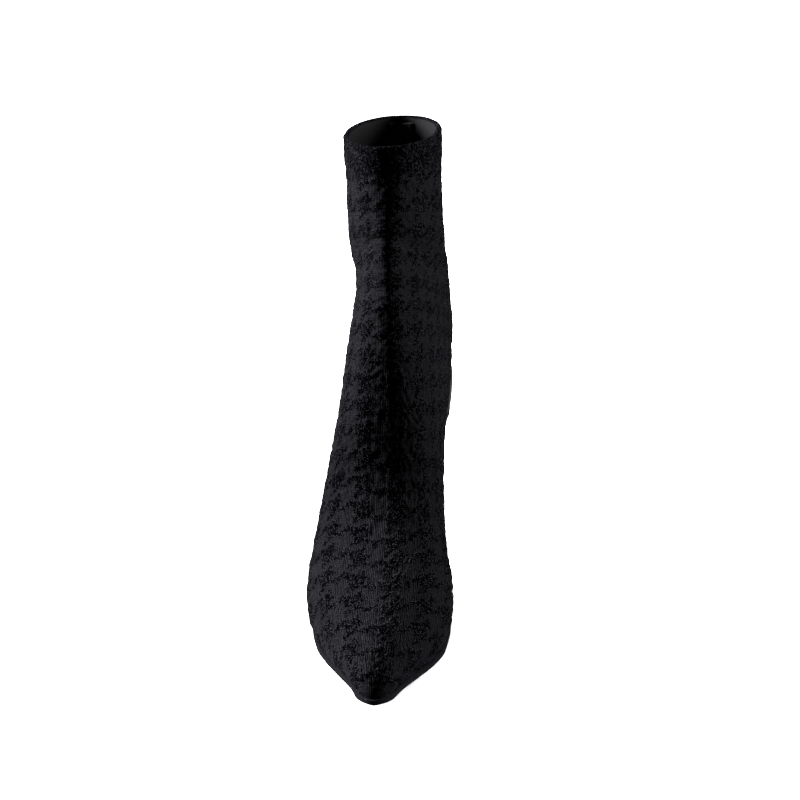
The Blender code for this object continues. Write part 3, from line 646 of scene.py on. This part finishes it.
def makeUpper():
    places = np.linspace(-1.0, 1.0, upper["columns"] + 1)
    paths, lowRun, topRun = spreadPaths(upper["rows"])
    tile = checkTile()
    settle = upper["mapSettle"]
    atSettle = np.interp(settle, paths, topRun) / np.interp(settle, paths, lowRun)
    fuzz = softNoise((len(paths) + upper["rimRows"], len(places)),
                     upper["fuzzSpacing"], upper["fuzzSeed"])
    collarRun = topRun[-1]
    points, maps, plain = [], [], []
    for number, path in enumerate(paths):
        base, girth = upperRow(path, places)
        normals = upperNormals(path, places)
        lowValue = lowRun[number] * atSettle if path < settle else topRun[number]
        share = np.abs(places)
        along = topRun[number] * (1.0 - share) + lowValue * share
        toCollar = collarRun - topRun[number]
        cuff = 1.0 - float(smoothStep(toCollar, upper["cuffDepth"] - upper["cuffBlend"],
                                      upper["cuffDepth"]))
        relief = -upper["patchRelief"] * checkHeight(tile, girth, along) * (1.0 - cuff)
        edge = np.ones(len(places))
        if path < 1.0:
            edge = smoothStep(1.0 - share, 0.0, upper["edgeBlend"])
        lift = (relief + upper["fuzz"] * fuzz[number] - foldDepth(path, places)) * edge
        if path >= 1.0:
            # Both sides of the back seam meet at one height
            apart = (lift[-1] - lift[0]) / 2.0
            lift += apart * (1.0 - smoothStep(1.0 + places, 0.0, upper["seamBlend"]))
            lift -= apart * (1.0 - smoothStep(1.0 - places, 0.0, upper["seamBlend"]))
        lift = lift * float(smoothStep(path, 0.0, upper["toeBlend"])) + upper["cuffStep"] * cuff
        points.append(base + normals * lift[:, None])
        maps.append(np.stack((girth, along), axis=1) * mm)
        plain.append(np.full(len(places), cuff))
    # The rim rolls over from the last row
    half = (boot["wall"] + upper["cuffStep"]) / 2.0
    for number in range(1, upper["rimRows"]):
        turn = math.pi * number / upper["rimRows"]
        ring = base + normals * (upper["cuffStep"] - half + half * math.cos(turn))
        ring[:, 2] += upper["rimLift"] * math.sin(turn)
        ring += normals * (upper["fuzz"] * fuzz[len(paths) + number])[:, None] * upper["rimFuzz"]
        points.append(ring)
        maps.append(np.stack((girth, along + number * upper["rimMapStep"]), axis=1) * mm)
        plain.append(np.ones(len(places)))
    return gridPiece("upperKnit", np.array(points), np.array(maps), plain=np.array(plain))


def makeLining():
    places = np.linspace(-1.0, 1.0, upper["liningColumns"] + 1)
    # The same rows as the knit, so that the two lower edges join up point by point
    paths = spreadPaths(upper["rows"])[0]
    points = []
    for path in paths:
        base = upperRow(path, places)[0]
        normals = upperNormals(path, places)
        if path <= 1.0:
            for edge in (0, len(places) - 1):
                normals[edge, 2] = 0.0
                normals[edge] /= max(np.linalg.norm(normals[edge]), 1e-9)
        points.append(base - normals * boot["wall"])
    return gridPiece("upperLining", np.array(points), np.zeros((len(paths), len(places), 2)))


def bridgeLoops(piece, wanted):
    # Joins the two open loops whose edges have their middle where the test accepts it
    makeActive(piece)
    bpy.ops.object.mode_set(mode="EDIT")
    bpy.ops.mesh.select_mode(type="EDGE")
    bpy.ops.mesh.select_all(action="DESELECT")
    bpy.ops.mesh.select_non_manifold(extend=False, use_wire=False, use_boundary=True,
                                     use_multi_face=False, use_non_contiguous=False,
                                     use_verts=False)
    bpy.ops.object.mode_set(mode="OBJECT")
    mesh = piece.data
    for edge in mesh.edges:
        if edge.select:
            middle = (mesh.vertices[edge.vertices[0]].co + mesh.vertices[edge.vertices[1]].co) / 2
            edge.select = wanted(middle)
    for vertex in mesh.vertices:
        vertex.select = False
    for edge in mesh.edges:
        if edge.select:
            for number in edge.vertices:
                mesh.vertices[number].select = True
    bpy.ops.object.mode_set(mode="EDIT")
    bpy.ops.mesh.bridge_edge_loops()
    bpy.ops.mesh.select_mode(type="VERT")
    bpy.ops.object.mode_set(mode="OBJECT")


skin = makeUpper()
skin.data.materials.append(knit)
inside = makeLining()
inside.data.materials.append(lining)
deselectAll()
inside.select_set(True)
skin.select_set(True)
bpy.context.view_layer.objects.active = skin
bpy.ops.object.join()
collarLevel = (boot["collarHeight"] - upper["cuffDepth"] / 2.0) * mm
bridgeLoops(skin, lambda place: place.z > collarLevel)
bridgeLoops(skin, lambda place: place.z < collarLevel)
makeActive(skin)
bpy.ops.object.mode_set(mode="EDIT")
bpy.ops.mesh.select_all(action="SELECT")
bpy.ops.mesh.normals_make_consistent(inside=False)
bpy.ops.object.mode_set(mode="OBJECT")
bpy.ops.object.shade_smooth()
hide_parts("upper")
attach(skin, "root")
print("upper made:", len(skin.data.polygons), "faces")


# Sole, tread, heel, lift and insole, in the measured shape with finer rows
def soleUnder(station, fromEdge):
    lift = sole["rimLift"] * (1.0 - np.clip(fromEdge / sole["rimWidth"], 0.0, 1.0)) ** sole["rimPower"]
    half = (halfWidth(station, 1) + halfWidth(station, -1)) / 2.0 + sole["margin"]
    share = np.clip(fromEdge / max(half, sole["rimWidth"]), 0.0, 1.0)
    crown = soleAt("crown", station) * sole["archCrown"] * (1.0 - (1.0 - share) ** 2)
    return featherHeight(station) - boot["soleThickness"] + lift - crown


def soleLoop(share, flatEnd):
    edges = {}
    for side in (1, -1):
        x, along = edgeLine(share, side, sole["margin"])
        edges[side] = np.array((x, stations(share) * boot["footLength"] if flatEnd else along))
    middle = (edges[1] + edges[-1]) / 2.0
    half = np.linalg.norm(edges[1] - edges[-1]) / 2.0
    loop = []
    for side, shareIn in ((1, 0.0), (1, 0.5), (1, 1.0), (-1, 0.5), (-1, 0.0)):
        x, along = edges[side] + (middle - edges[side]) * shareIn
        loop.append((x, along, featherHeight(along / boot["footLength"]) - boot["clearance"]))
    rim = min(sole["rimWidth"] / half, sole["widestRim"])
    inward = np.concatenate((np.linspace(0.0, rim, sole["rimPoints"]),
                             np.linspace(rim, 1.0, sole["underPoints"])[1:-1]))
    under = [(-1, value) for value in inward] + [(1, 1.0)] + [(1, value) for value in inward[::-1]]
    for side, shareIn in under:
        x, along = edges[side] + (middle - edges[side]) * shareIn
        loop.append((x, along, soleUnder(along / boot["footLength"], shareIn * half)))
    return np.array(loop)


tread = {"rows": 110, "points": 56, "back": 0.555, "tip": 0.925, "thickness": 1.6,
         "rounding": 16.0, "point": 36.0, "pointPower": 0.75, "inset": 0.25,
         "cutter": 4.0, "cutterRows": 80, "cutterPoints": 9,
         "latticePitch": 8.5, "latticeLean": 0.62, "grooveWidth": 0.9, "grooveFloor": 0.4,
         "grooveDepth": 0.35, "plainEdge": 4.0}


def treadLoop(station, margin, top, drop, points):
    along = station * boot["footLength"]
    back = rounded(along - tread["back"] * boot["footLength"] + margin, tread["rounding"])
    toTip = (tread["tip"] * boot["footLength"] + margin - along) / tread["point"]
    tip = (1.0 - (1.0 - np.clip(toTip, 0.0, 1.0)) ** 2) ** tread["pointPower"]
    middle = middleLine(station)
    places = []
    for share in np.linspace(1.0, -1.0, points):
        full = halfWidth(station, 1 if share >= 0 else -1) + sole["margin"]
        half = (full - sole["rimWidth"]) * tip * back + margin
        places.append((middle + share * half, full - abs(share) * half, half * (1 - abs(share))))
    level = soleUnder(station, sole["rimWidth"]) + top
    above = [(x, along, level) for x, _, _ in places]
    below = []
    for x, fromEdge, inside in reversed(places):
        z = soleUnder(station, fromEdge) - drop
        if margin == 0.0:
            z += latticeDepth(x, along, inside)
        below.append((x, along, z))
    return np.array(above + below)


def latticeDepth(x, along, inside):
    # Grooves of a diamond lattice cut up into the tread, inside a plain edge
    ends = min(along - tread["back"] * boot["footLength"], tread["tip"] * boot["footLength"] - along)
    reach = min(inside, ends) - tread["plainEdge"]
    if reach <= 0.0:
        return 0.0
    floorEnd = tread["grooveWidth"] * tread["grooveFloor"]
    depth = 0.0
    for lean in (1.0, -1.0):
        offset = (along * tread["latticeLean"] + lean * x) / tread["latticePitch"]
        away = abs(offset - round(offset)) * tread["latticePitch"]
        depth = max(depth, 1.0 - smoothStep(away, floorEnd, tread["grooveWidth"]))
    return float(depth) * tread["grooveDepth"] * min(reach, 1.0)


def treadPiece(name, margin, top, drop, rows, points):
    ends = (tread["back"] * boot["footLength"] - margin, tread["tip"] * boot["footLength"] + margin)
    spread = stations(np.linspace(0.0, 1.0, rows))
    alongs = ends[0] + tread["inset"] + (ends[1] - ends[0] - 2 * tread["inset"]) * spread
    return ringPiece(name, [treadLoop(along / boot["footLength"], margin, top, drop, points)
                            for along in alongs])


heel = {"rows": 64, "sidePoints": 26, "breastPoints": 9, "lift": 4.0, "liftRows": 5,
        "breastHollow": 0.8, "seatBlend": 0.12, "bevel": 0.4}


def heelLoop(drop, level=None):
    back, front, width = heelLine(drop)
    straight = heelAt("straight", drop)
    shares = np.sin(np.linspace(0.0, np.pi / 2, heel["sidePoints"] + 1))
    along = front - shares * (front - back)
    turn = np.clip((shares - straight) / (1.0 - straight), 0.0, 1.0)
    plainSide = np.sqrt(1.0 - turn ** 2) * width / 2.0
    blend = np.clip(1.0 - drop / heel["seatBlend"], 0.0, 1.0)
    inside = np.clip(along / boot["footLength"], 0.0, 1.0)
    sides = []
    for side in (1, -1):
        reach = rounded(along + sole["margin"], boot["heelRounding"] + sole["margin"])
        seat = soleAt("medial" if side > 0 else "lateral", inside) * boot["ballWidth"]
        seat = (seat + sole["margin"]) * reach
        sides.append(side * (seat * blend + plainSide * (1.0 - blend)))
    hollow = heel["breastHollow"] * math.sin(math.pi * drop)
    across = np.linspace(sides[1][0], sides[0][0], heel["breastPoints"])[1:-1]
    breast = front - hollow * (1.0 - (across / max(abs(sides[0][0]), 1e-6)) ** 2)
    x = np.concatenate((sides[0], sides[1][-2::-1], across))
    along = np.concatenate((along, along[-2::-1], breast))
    seatLevel = featherHeight(np.clip(along / boot["footLength"], 0.0, 1.0)) - boot["clearance"]
    foot = heel["lift"] + boot["clearance"]
    z = seatLevel + (foot - seatLevel) * drop if level is None else np.full(len(x), level)
    return np.column_stack((x, along, z))


def finishPiece(piece, finish, stands, degrees=35.0, bevel=None):
    piece.data.materials.append(finish)
    if bevel:
        applyModifier(piece, "BEVEL", width=bevel * mm, segments=3, limit_method="ANGLE",
                      angle_limit=math.radians(40.0))
    smoothByAngle(piece, degrees)
    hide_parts(stands)
    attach(piece, "root")


seam = math.acos(1.0 - 2.0 * sole["seamStation"]) / math.pi
shares = np.linspace(seam, sole["end"], sole["rows"])
outsole = ringPiece("outsoleGloss", [soleLoop(share, number == 0)
                                     for number, share in enumerate(shares)])
cutter = treadPiece("recessCutter", boot["clearance"], tread["thickness"] + boot["clearance"],
                    tread["cutter"], tread["cutterRows"], tread["cutterPoints"])
applyModifier(outsole, "BOOLEAN", operation="DIFFERENCE", solver="EXACT", object=cutter)
bpy.data.objects.remove(cutter, do_unlink=True)
finishPiece(outsole, gloss, "outsole", 35.0, sole["bevel"])
forepart = treadPiece("forepartTread", 0.0, tread["thickness"], 0.0, tread["rows"],
                      tread["points"])
finishPiece(forepart, rubber, "forepart", 50.0)
drops = (1.0 - np.cos(np.linspace(0.0, math.pi, heel["rows"]))) / 2.0
heelBody = ringPiece("heelGloss", [heelLoop(drop) for drop in drops])
finishPiece(heelBody, gloss, "heel", 50.0, heel["bevel"])
topLift = ringPiece("topLiftRubber", [heelLoop(1.0, level)
                                      for level in np.linspace(0.0, heel["lift"], heel["liftRows"])])
finishPiece(topLift, rubber, "top_lift", 40.0, heel["bevel"])

insole = {"rows": 90, "points": 9, "end": 0.012, "thickness": 2.0, "clearance": 0.7,
          "bevel": 0.5}
boardLoops = []
for share in np.linspace(insole["end"], 1.0 - insole["end"], insole["rows"]):
    inset = -(boot["wall"] + insole["clearance"])
    medial = np.array(edgeLine(share, 1, inset))
    lateral = np.array(edgeLine(share, -1, inset))
    under = [medial + (lateral - medial) * part for part in np.linspace(0.0, 1.0, insole["points"])]
    lower = [(x, along, featherHeight(along / boot["footLength"])) for x, along in under]
    raised = [(x, along, z + insole["thickness"]) for x, along, z in reversed(lower)]
    boardLoops.append(np.array(lower + raised))
board = ringPiece("insoleSock", boardLoops)
finishPiece(board, sockCloth, "insole", 45.0, insole["bevel"])
print("sole, heel and insole made")


# Seam tape inside the back of the shaft, with its ladder of stitches
tape = {"width": 15.0, "thickness": 0.8, "length": 70.0, "inset": 2.0, "rows": 60,
        "selvedge": 0.4, "seamHalf": 0.6, "stitchPitch": 3.1, "stitchLength": 4.2,
        "stitchSize": 0.36, "stitchRise": 1.3, "stitchSink": 0.95, "stitchLean": 9.0}


def tapeSection(path, offsets, lift):
    low, top = sectionFrame(path)
    x, v = halfSection(path, 1, math.hypot(top[0] - low[0], top[1] - low[1]))
    girth = np.sum(np.hypot(np.diff(x), np.diff(v)))
    shares = np.asarray(offsets) / girth
    places = np.where(shares < 0, 1.0 + shares, -1.0 + shares)
    base = upperRow(path, places)[0]
    normals = upperNormals(path, places)
    return base - normals * (boot["wall"] + boot["clearance"] + lift), normals


def tapePaths(rows):
    back = collarHeight(upperAt("back", 2.0) * boot["footLength"]) - boot["heelHeight"]
    upperEnd = 2.0 - tape["inset"] / back
    lowerEnd = 2.0 - (tape["inset"] + tape["length"]) / back
    return np.linspace(lowerEnd, upperEnd, rows)


half = tape["width"] / 2.0
outwards = (0.0, tape["seamHalf"], half / 2, half - tape["selvedge"], half)
offsets = np.array([-value for value in outwards[:0:-1]] + list(outwards))
# Thin at both selvedges and pressed in along the middle
thick = np.array((0.55, 1.0, 1.0, 1.0, 0.8, 1.0, 1.0, 1.0, 0.55)) * tape["thickness"]
tapeLoops = []
for path in tapePaths(tape["rows"]):
    wallSide, normals = tapeSection(path, offsets, 0.0)
    face = wallSide - normals * thick[:, None]
    tapeLoops.append(np.vstack((wallSide, face[::-1])))
tapePiece = ringPiece("seamTape", tapeLoops)
finishPiece(tapePiece, tapeCloth, "back_tape", 50.0)

stitchObjects = []
count = int(tape["length"] / tape["stitchPitch"])
for number, path in enumerate(tapePaths(count + 2)[1:-1]):
    centre, normals = tapeSection(path, np.array((0.0,)), tape["thickness"] * tape["stitchSink"])
    centre = Vector([float(value) for value in toMetres(centre)[0]])
    deselectAll()
    bpy.ops.mesh.primitive_uv_sphere_add(segments=10, ring_count=8, radius=1.0)
    stitch = bpy.context.object
    lean = math.radians(tape["stitchLean"] if number % 2 else -tape["stitchLean"])
    size = Matrix.Diagonal((tape["stitchLength"] / 2 * mm, tape["stitchSize"] * mm,
                            tape["stitchSize"] * tape["stitchRise"] * mm, 1.0))
    stitch.data.transform(Matrix.Translation(centre) @ Matrix.Rotation(lean, 4, "Y") @ size)
    stitchObjects.append(stitch)
deselectAll()
for stitch in stitchObjects:
    stitch.select_set(True)
bpy.context.view_layer.objects.active = stitchObjects[0]
bpy.ops.object.join()
stitches = bpy.context.object
stitches.name = "tapeStitches"
stitches.data.name = "tapeStitches"
stitches.data.materials.append(thread)
bpy.ops.object.shade_smooth()
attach(stitches, "root")
print("tape and stitches made")

# Floor, light and camera, in metres
studio = {
    "floorSize": 12.0, "floorTone": (0.90, 0.90, 0.90), "glowAround": (0.0, -0.08, 0.0),
    "glowFrom": 0.16, "glowTo": 0.55, "glowLow": 0.05, "lightAim": (0.0, -0.07, 0.09),
    "skyLight": 0.02, "skySeen": 0.93, "eye": (0.078, -0.690, 0.354),
    "target": (0.004, -0.074, 0.094), "roll": math.radians(-2.55), "lens": 62.0,
}
deselectAll()
bpy.ops.mesh.primitive_plane_add(size=studio["floorSize"], location=(0.0, 0.0, 0.0))
floor = bpy.context.object
floor.name = "paleFloor"
paleFloor, floorTree, floorShader = newMaterial("paleFloor", studio["floorTone"], 0.75, {
    "Emission Strength": 1.0})
# It glows only well away from the boot, so that the shadow beside the toe stays
fromBoot = addNode(floorTree, "ShaderNodeVectorMath", {1: studio["glowAround"]},
                   operation="DISTANCE")
floorTree.links.new(addNode(floorTree, "ShaderNodeTexCoord").outputs["Object"], fromBoot.inputs[0])
glow = addNode(floorTree, "ShaderNodeMapRange", {
    "From Min": studio["glowFrom"], "From Max": studio["glowTo"],
    "To Min": studio["glowLow"], "To Max": 1.0})
floorTree.links.new(fromBoot.outputs["Value"], glow.inputs["Value"])
floorTree.links.new(glow.outputs["Result"], floorShader.inputs["Emission Color"])
floor.data.materials.append(paleFloor)
# A studio floor that is seen white but throws no light up the shaft or into the gloss
floor.visible_diffuse = False
floor.visible_glossy = False


def areaLight(name, place, aim, size, power, colour=(1.0, 1.0, 1.0)):
    deselectAll()
    bpy.ops.object.light_add(type="AREA", location=place)
    lamp = bpy.context.object
    lamp.name = name
    lamp.data.size = size
    lamp.data.energy = power
    lamp.data.color = colour
    lamp.rotation_euler = (Vector(aim) - Vector(place)).to_track_quat("-Z", "Y").to_euler()


areaLight("keyLight", (-1.2, 0.20, 0.62), studio["lightAim"], 0.5, 200.0, (0.97, 0.97, 1.0))
areaLight("rimLight", (1.0, 0.30, 0.50), studio["lightAim"], 0.5, 44.0)
areaLight("topLight", (-0.3, 1.3, 2.4), (0.0, 0.1, 0.0), 1.8, 9.0)
world = bpy.context.scene.world or bpy.data.worlds.new("studio")
bpy.context.scene.world = world
world.use_nodes = True
backdrop = world.node_tree.nodes["Background"]
backdrop.inputs["Color"].default_value = (1.0, 1.0, 1.0, 1.0)
# The camera sees a pale backdrop that lights the boot very little
sky = world.node_tree
seen = sky.nodes.new("ShaderNodeLightPath").outputs["Is Camera Ray"]
strength = mathNode(sky, "MULTIPLY_ADD", seen, studio["skySeen"], studio["skyLight"])
sky.links.new(strength, backdrop.inputs["Strength"])

eye = Vector(studio["eye"])
target = Vector(studio["target"])
deselectAll()
bpy.ops.object.camera_add(location=eye)
camera = bpy.context.object
camera.data.sensor_width = 36.0
camera.data.lens = studio["lens"]
level = (target - eye).to_track_quat("-Z", "Y").to_matrix()
camera.rotation_euler = (level @ Matrix.Rotation(studio["roll"], 3, "Z")).to_euler()
bpy.context.scene.camera = camera
bpy.context.scene.view_settings.view_transform = "Standard"
print("stage set")
